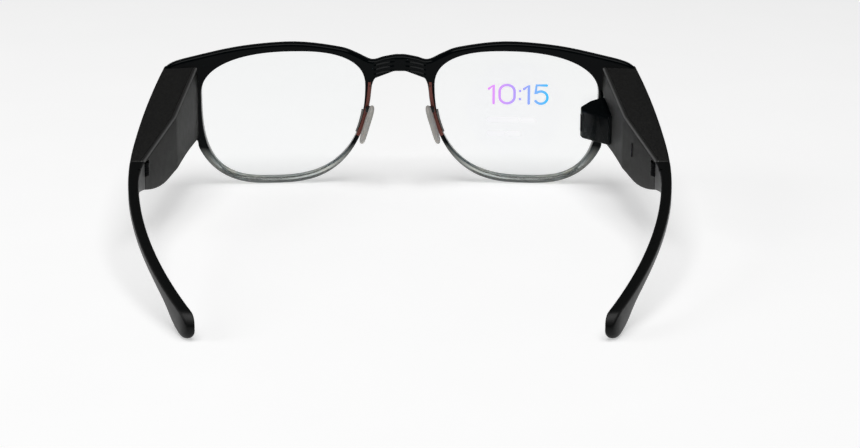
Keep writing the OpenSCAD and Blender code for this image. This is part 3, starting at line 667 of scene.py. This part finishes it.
def shell_section(d):
    ease = 0.2 if d == SEAM_D else 0.0
    return rounded_box(inner_x(d) + COVER_T + 0.09, outer_x(d) - ease, belly_z(d) + ease, top_z(d) - ease,
                       (0.1, 1.7, 0.7, 0.14))


def cover_section(d):
    ease = 0.2 if d == SEAM_D else 0.0
    return rounded_box(inner_x(d) + ease, inner_x(d) + COVER_T, belly_z(d) + ease, top_z(d) - ease,
                       (0.45, 0.06, 0.14, 0.8))


def hinge_cutters(mat, side):
    """Room for the knuckles: a round pocket that opens through the inner face and the seam."""
    reach = KNUCKLE_R + FOLD_GAP
    low, high = HINGE_LOW - 0.1, HINGE_TOP + 0.5
    round_part = [(PIVOT_X + reach * math.cos(a), PIVOT_D + reach * math.sin(a))
                  for a in np.linspace(0, 2 * math.pi, 32, endpoint=False)]
    inward = [(PIVOT_X - 3, PIVOT_D - reach), (PIVOT_X, PIVOT_D - reach),
              (PIVOT_X, PIVOT_D + reach), (PIVOT_X - 3, PIVOT_D + reach)]
    seam = [(PIVOT_X - 3.1, PIVOT_D), (PIVOT_X + reach, PIVOT_D),
            (PIVOT_X + reach, SEAM_D + 2), (PIVOT_X - 3.1, SEAM_D + 2)]
    return [block(mat, [(side * x, d) for x, d in plan], low, high) for plan in (round_part, inward, seam)]


def sound_slits(mat, side):
    x0 = inner_x(28) + 3
    x1, pitch, width = x0 + 3.4, 1.6, 0.7
    starts = [24 + pitch * i for i in range(4)]
    plans = [((x0, d), (x1, d), (x1, d + width), (x0, d + width)) for d in starts]
    return [block(mat, [(side * x, d) for x, d in plan], END_LOW - 3, END_LOW + 1.5) for plan in plans]


def housing(mats, side, word):
    depths = housing_depths()
    verts, faces = loft_along(depths, shell_section)
    shell = make_mesh(word + "_shell", verts, faces, mats["housing_nylon"], side=side,
                      stands_for=[word + "_housing_shell"])
    verts, faces = loft_along(depths, cover_section)
    cover = make_mesh(word + "_cover", verts, faces, mats["cover_nylon"], side=side,
                      stands_for=[word + "_housing_cover"])
    # painted shade: the faces left by these cuts take the near-black shadow_gap material
    dark = mats["shadow_gap"]
    pocket = hinge_cutters(dark, side)
    slits = sound_slits(dark, side)
    cut(shell, pocket + slits)
    slot_at, slot_w = 0.68 * SEAM_D, 0.95
    corners = ((-1, 0), (1, 0), (1, slot_w), (-1, slot_w))
    plan = [(side * (inner_x(slot_at) + dx), slot_at + dd) for dx, dd in corners]
    sensor = [] if side > 0 else [block(dark, plan, END_LOW + 5, END_LOW + 9)]
    cut(cover, pocket + sensor)
    remove(pocket + slits + sensor)


# ---- Projector pod ----

def pod(frame, mats):
    """Smooth skin round the CAD pod's outer shape, with softened edges."""
    source = frame["nodes"]["projector_shroud"].data
    bm = bmesh.new()
    for vertex in source.vertices:
        bm.verts.new(vertex.co)
    hull = bmesh.ops.convex_hull(bm, input=bm.verts)
    bmesh.ops.delete(bm, geom=list({*hull["geom_interior"], *hull["geom_unused"]}), context="VERTS")
    bmesh.ops.dissolve_limit(bm, angle_limit=math.radians(4), verts=bm.verts, edges=bm.edges)
    mesh = bpy.data.meshes.new("pod")
    bm.to_mesh(mesh)
    bm.free()
    obj = bpy.data.objects.new("pod", mesh)
    bpy.context.scene.collection.objects.link(obj)
    soften(obj, 0.45, 4)
    applied(obj)
    finish_piece(obj, mats["gloss_black"], "front", 50, ["projector_shroud"])


def soften(obj, width, segments=2):
    mod = obj.modifiers.new("soft edges", "BEVEL")
    mod.width, mod.segments, mod.limit_method = width * MM, segments, "ANGLE"
    mod.angle_limit = math.radians(35)


# ---- Arms ----

def arm_d(share):
    return SEAM_D + share * (REACH - SEAM_D)


# Heights of an arm at shares of its length
ARM_HEIGHTS = ((0.22, 3.9), (0.34, 3.3), (0.54, 3.0), (0.7, 3.2), (0.83, 4.2))
ARM_LOW = smooth(
    [(SEAM_D + 0.15, END_LOW + 0.5), (SEAM_D + 5.15, END_LOW + 1.3), (SEAM_D + 10.65, END_LOW + 1.9)]
    + [(arm_d(s), top_z(arm_d(s)) - h) for s, h in ARM_HEIGHTS]
    + [(REACH - 8, 1.6), (REACH - 4, 0.0), (REACH, 0.0)])


TIP_ROUND = 3.2      # length of the rounding at an arm's tip


def arm_section(d):
    low = float(np.interp(d, [p[0] for p in ARM_LOW], [p[1] for p in ARM_LOW]))
    high = top_z(d)
    x1 = outer_x(d)
    x0 = x1 - arm_width(d) * math.sqrt(1 + slope(d) ** 2)
    ease = 0.2 if d < SEAM_D + 0.2 else 0.0
    width, height = (x1 - x0) / 2 - ease, (high - low) / 2 - ease
    past = (d - (REACH - TIP_ROUND)) / TIP_ROUND
    if past > 0:
        squeeze = math.sqrt(max(0.0, 1 - past * past))
        height *= squeeze
        width *= 0.45 + 0.55 * squeeze
    mid_x, mid_z = (x0 + x1) / 2, (low + high) / 2
    below = min(0.5 + 1.2 * min(1.0, (d - SEAM_D) / 40), 0.95 * width, 0.95 * height)
    above = min(0.5, 0.8 * width, 0.8 * height)
    return rounded_box(mid_x - width, mid_x + width, mid_z - height, mid_z + height,
                       (below, below, above, above))


def arm(mats, side, word):
    start, tip = SEAM_D + 0.15, REACH
    tip_angles = np.radians([8, 20, 32, 44, 56, 68, 78])
    near_tip = [tip - TIP_ROUND + TIP_ROUND * math.sin(a) for a in tip_angles]
    depths = [start, start + 0.2, *np.arange(start + 2.5, tip - TIP_ROUND - 0.1, 2.5), *near_tip, tip - 0.01]
    verts, faces = loft_along(depths, arm_section)
    make_mesh(word + "_temple", verts, faces, mats["arm_nylon"], body=word + "_arm", side=side,
              stands_for=[word + "_arm"])


# ---- Projected picture ----

def ribbon(points, width, round_ends=6):
    """Flat stroke of an even width with round ends, as points and faces in its plane."""
    p = [Vector(q) for q in points]
    outline_a, outline_b = [], []
    for i, here in enumerate(p):
        before, after = p[max(i - 1, 0)], p[min(i + 1, len(p) - 1)]
        along = (after - before).normalized()
        normal = Vector((-along.y, along.x))
        outline_a.append(here + normal * width / 2)
        outline_b.append(here - normal * width / 2)

    def cap(end, along):
        base = math.atan2(along.x, -along.y)
        turns = [base - math.pi * k / round_ends for k in range(1, round_ends)]
        return [end + Vector((math.cos(a), math.sin(a))) * width / 2 for a in turns]

    last = cap(p[-1], (p[-1] - p[-2]).normalized())
    first = cap(p[0], (p[0] - p[1]).normalized())
    verts = outline_a + outline_b + last + first
    n = len(p)
    faces = [(i, i + 1, n + i + 1, n + i) for i in range(n - 1)]
    faces.append((n - 1, *range(2 * n, 2 * n + len(last)), 2 * n - 1))
    faces.append((n, *range(2 * n + len(last), len(verts)), 0))
    return verts, faces


def arc(cx, cz, rx, rz, start, end, steps=14):
    angles = [math.radians(start + (end - start) * k / steps) for k in range(steps + 1)]
    return [(cx + rx * math.cos(a), cz + rz * math.sin(a)) for a in angles]


def clock_strokes(height, stroke):
    """Strokes of a generic ten-fifteen, starting at 0, with each figure's own width."""
    low, high = stroke / 2, height - stroke / 2
    strokes, x = [], 0.0

    def one(x):
        stem = x + 1.75
        return [[(stem, low), (stem, high), (stem - 1.45, high - 1.25)]]

    def zero(x):
        cx, rx, mid = x + 2.9, 2.25, height / 2
        top = arc(cx, high - 2.1, rx, 2.1, 0, 180, 18)
        bottom = arc(cx, low + 2.1, rx, 2.1, 180, 360, 18)
        return [[(cx + rx, mid), *top, *bottom, (cx + rx, mid)]]

    def five(x):
        bowl = arc(x + 2.1, low + 1.95, 1.95, 1.95, 128, -145, 22)
        return [[(x + 3.8, high), (x + 0.75, high), (x + 0.45, height * 0.52), *bowl]]

    strokes += one(x) + zero(x + 2.9)
    dots = [[(x + 9.7, z), (x + 9.71, z)] for z in (height * 0.27, height * 0.66)]
    strokes += dots + one(x + 10.6) + five(x + 13.9)
    return strokes


def on_lens(verts, x0, z0, proud):
    """Puts flat points on the rear face of the right lens; the picture's left end is nearer the nose."""
    lens_back = (FRONT_T - 2.0) / 2
    return [place(-(x0 + u), rear_at(x0 + u) - lens_back + proud, z0 + w) for u, w in verts]


def picture(mats):
    verts, faces = [], []
    stroke = 0.78
    for points in clock_strokes(6.6, stroke):
        v, f = ribbon(points, stroke)
        faces += [tuple(i + len(verts) for i in face) for face in f]
        verts += v
    widened = [(1.03 * u, w) for u, w in verts]
    flat_piece("clock", on_lens(widened, 27.4, 25.1, 0.2), faces, mats["clock_light"])
    verts, faces = [], []
    for x, z, length in ((27.9, 20.2, 8.6), (38.2, 20.2, 3.4), (27.9, 15.8, 4.4), (34.0, 15.8, 3.2)):
        v, f = ribbon([(x, z), (x + length, z)], 1.7)
        faces += [tuple(i + len(verts) for i in face) for face in f]
        verts += v
    flat_piece("note_bars", on_lens(verts, 0, 0, 0.2), faces, mats["note_light"])


def flat_piece(name, verts, faces, mat):
    """Thin sheet of light; it has a hair of thickness so that it exports as a solid."""
    count, thick = len(verts), 0.03 * MM
    front = [(x, y - thick, z) for x, y, z in verts]
    edges = {}
    for face in faces:
        for a, b in zip(face, face[1:] + face[:1]):
            edges[(a, b)] = True
    rim_faces = [(a, b, b + count, a + count) for a, b in edges if (b, a) not in edges]
    back = [tuple(i + count for i in reversed(face)) for face in faces]
    mesh = bpy.data.meshes.new(name)
    mesh.from_pydata(list(verts) + front, [], list(faces) + back + rim_faces)
    bm = bmesh.new()
    bm.from_mesh(mesh)
    bmesh.ops.recalc_face_normals(bm, faces=bm.faces)
    bm.to_mesh(mesh)
    bm.free()
    obj = bpy.data.objects.new(name, mesh)
    bpy.context.scene.collection.objects.link(obj)
    mesh.materials.append(mat)
    obj.visible_shadow = False
    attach(obj, "front")


# ---- Studio ----

def add_camera():
    data = bpy.data.cameras.new("camera")
    data.lens, data.sensor_width = 85.1, 36.0
    data.shift_x = 0.035
    data.clip_start, data.clip_end = 0.01, 50
    camera = bpy.data.objects.new("camera", data)
    camera.location = (0, FRONT_Y * MM + 0.618, 0.164)
    camera.rotation_euler = (math.radians(90 - 16), 0, math.pi)
    bpy.context.scene.collection.objects.link(camera)
    bpy.context.scene.camera = camera


def add_floor():
    n = Nodes("floor")
    speck = n.noise(30, 3)
    paint = n.add("BsdfDiffuse", {"Color": n.blend(speck, (0.70, 0.70, 0.70, 1), (0.73, 0.73, 0.73, 1))})
    lift = n.add("Emission", {"Color": (1, 1, 1, 1), "Strength": 0.49})
    mat = n.surface(n.add("AddShader", {0: paint.outputs[0], 1: lift.outputs[0]}).outputs[0])
    mesh = bpy.data.meshes.new("floor")
    half = 6.0
    corners = [(-half, -half, 0), (half, -half, 0), (half, half, 0), (-half, half, 0)]
    mesh.from_pydata(corners, [], [(0, 1, 2, 3)])
    mesh.materials.append(mat)
    floor = bpy.data.objects.new("floor", mesh)
    floor.location.z = -0.00008
    bpy.context.scene.collection.objects.link(floor)


def add_light(name, place_at, aim, size, power):
    data = bpy.data.lights.new(name, "AREA")
    data.shape, data.size, data.energy = "SQUARE", size, power
    light = bpy.data.objects.new(name, data)
    light.location = place_at
    light.rotation_euler = (Vector(aim) - Vector(place_at)).to_track_quat("-Z", "Y").to_euler()
    bpy.context.scene.collection.objects.link(light)


def add_world():
    """Bright at the horizon, dim overhead, so that level surfaces stay dark and slanting ones catch light."""
    world = bpy.data.worlds.new("studio")
    world.use_nodes = True
    bpy.context.scene.world = world
    tree = world.node_tree
    sky = tree.nodes["Background"]
    where = tree.nodes.new("ShaderNodeTexCoord")
    part = tree.nodes.new("ShaderNodeSeparateXYZ")
    shade = tree.nodes.new("ShaderNodeMapRange")
    shade.inputs[1].default_value, shade.inputs[2].default_value = 0.12, 0.5
    shade.inputs[3].default_value, shade.inputs[4].default_value = 0.9, 0.22
    tree.links.new(where.outputs["Generated"], part.inputs[0])
    tree.links.new(part.outputs[2], shade.inputs[0])
    tree.links.new(shade.outputs[0], sky.inputs["Strength"])


def studio():
    add_floor()
    add_world()
    add_light("overhead", (0.0, 0.35, 1.5), (0, 0, 0), 1.3, 17)
    add_light("side", (1.3, 0.2, 0.7), (0, 0, 0), 0.6, 3)
    bpy.context.scene.view_settings.view_transform = "Standard"


# ---- Everything together ----

CARRIED = {
    "left_lens": "lens", "right_lens": "lens", "display_film": "film", "brow_flex_cable": "flex",
    "nose_rivets": "dark_rivet", "left_end_bracket": "steel", "right_end_bracket": "steel",
    "bracket_screws": "steel", "left_hinge_leaf": "black_steel", "right_hinge_leaf": "black_steel",
    "left_hinge_pin": "steel", "right_hinge_pin": "steel", "battery_cell": "foil", "charge_board": "board",
    "charge_contacts": "gold", "main_board": "board", "processor": "chip", "bluetooth_antenna": "flex",
    "light_engine": "engine", "projector_gasket": "gloss_black", "projector_window": "window",
    "wear_sensor": "window", "left_speaker": "chip", "right_speaker": "chip", "microphones": "steel",
    "left_arm_core": "steel", "right_arm_core": "steel", "left_arm_leaf": "black_steel",
    "right_arm_leaf": "black_steel"}


def dress_carried_nodes(frame, mats):
    for node, slot in CARRIED.items():
        obj = frame["nodes"][node]
        obj.data.materials.clear()
        obj.data.materials.append(mats[slot])
        for face in obj.data.polygons:
            face.use_smooth = True
        obj.data.set_sharp_from_angle(angle=math.radians(30))
    for node in ("nose_rivets", "projector_gasket"):
        soften(frame["nodes"][node], 0.12)


def main():
    add_camera()
    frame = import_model()
    mats = make_materials()
    mats["clock_light"] = glow("clock_light", (0.88, 0.34, 1.0), (0.46, 0.38, 1.0), (0.06, 0.56, 1.0),
                               1.0, -27.4, -46.2)
    mats["note_light"] = glow("note_light", (0.93, 0.93, 0.95), (0.95, 0.95, 0.96), (0.96, 0.96, 0.97),
                              1.0, -27.4, -46.2)
    dress_carried_nodes(frame, mats)
    front_frame(mats["acetate"])
    for side, word in ((1, "left"), (-1, "right")):
        nose_parts(mats, side, word)
        housing(mats, side, word)
        arm(mats, side, word)
    pod(frame, mats)
    picture(mats)
    studio()


main()
